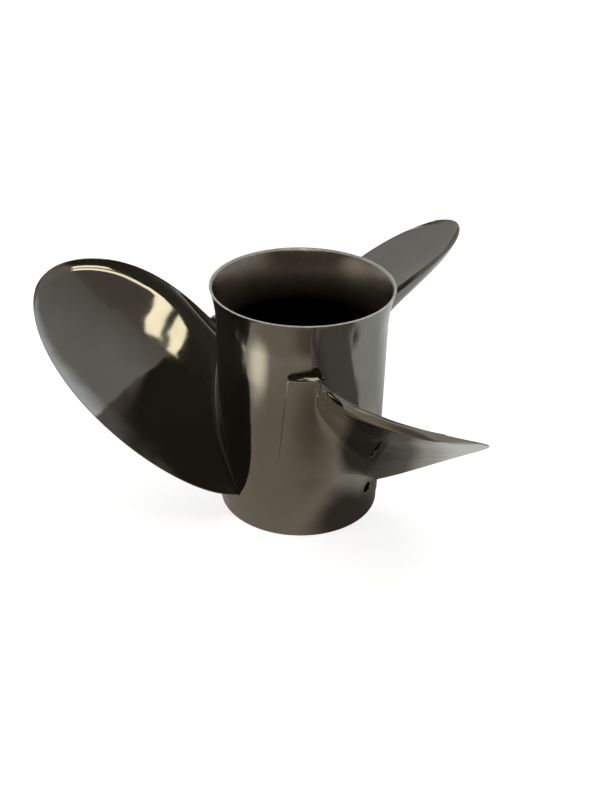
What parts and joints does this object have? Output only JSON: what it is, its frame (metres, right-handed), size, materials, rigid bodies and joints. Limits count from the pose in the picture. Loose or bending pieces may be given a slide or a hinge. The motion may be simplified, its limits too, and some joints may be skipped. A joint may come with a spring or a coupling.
{
  "type": "outboard boat propeller",
  "caption": "Polished stainless-steel outboard propeller: wide raked blades on a flared through-exhaust barrel, with a rubber-cushioned splined hub inside.",
  "frame": {"origin": "on the propeller shaft's axis, in the plane of the barrel's front rim, which it stands on", "axes": "+Z aft along the shaft, out of the flared end; -Y towards the viewer of the picture"},
  "size_m": [0.2933, 0.3204, 0.1616],
  "materials": {
    "polished_steel": "mirror-polished stainless steel",
    "cast_steel": "matt as-cast stainless steel",
    "bushing_shell": "matt moulded composite",
    "rubber_bushing": "matt black rubber",
    "drive_sleeve": "machined brass",
    "aft_spacer": "turned stainless steel"
  },
  "bodies": {
    "propeller": {"hub_barrel": "polished_steel", "blade_1": "polished_steel", "blade_2": "polished_steel", "blade_3": "polished_steel", "inner_hub": "cast_steel", "rib_1": "cast_steel", "rib_2": "cast_steel", "rib_3": "cast_steel"},
    "hub_kit": {"bushing_shell": "bushing_shell", "rubber_bushing": "rubber_bushing"},
    "drive_core": {"drive_sleeve": "drive_sleeve"},
    "loose_spacer": {"aft_spacer": "aft_spacer"}
  },
  "joints": [
    {"name": "hub_kit_draw", "type": "slide", "parent": "propeller", "child": "hub_kit", "axis": [0, 0, 1], "range_m": [0, 0.085]},
    {"name": "rubber_twist", "type": "hinge", "parent": "hub_kit", "child": "drive_core", "pos_m": [0, 0, 0.058], "axis": [0, 0, 1], "range_deg": [-10, 10], "stiffness_Nm_per_rad": 40},
    {"name": "spacer_lift", "type": "slide", "parent": "drive_core", "child": "loose_spacer", "axis": [0, 0, 1], "range_m": [0, 0.06]}
  ]
}
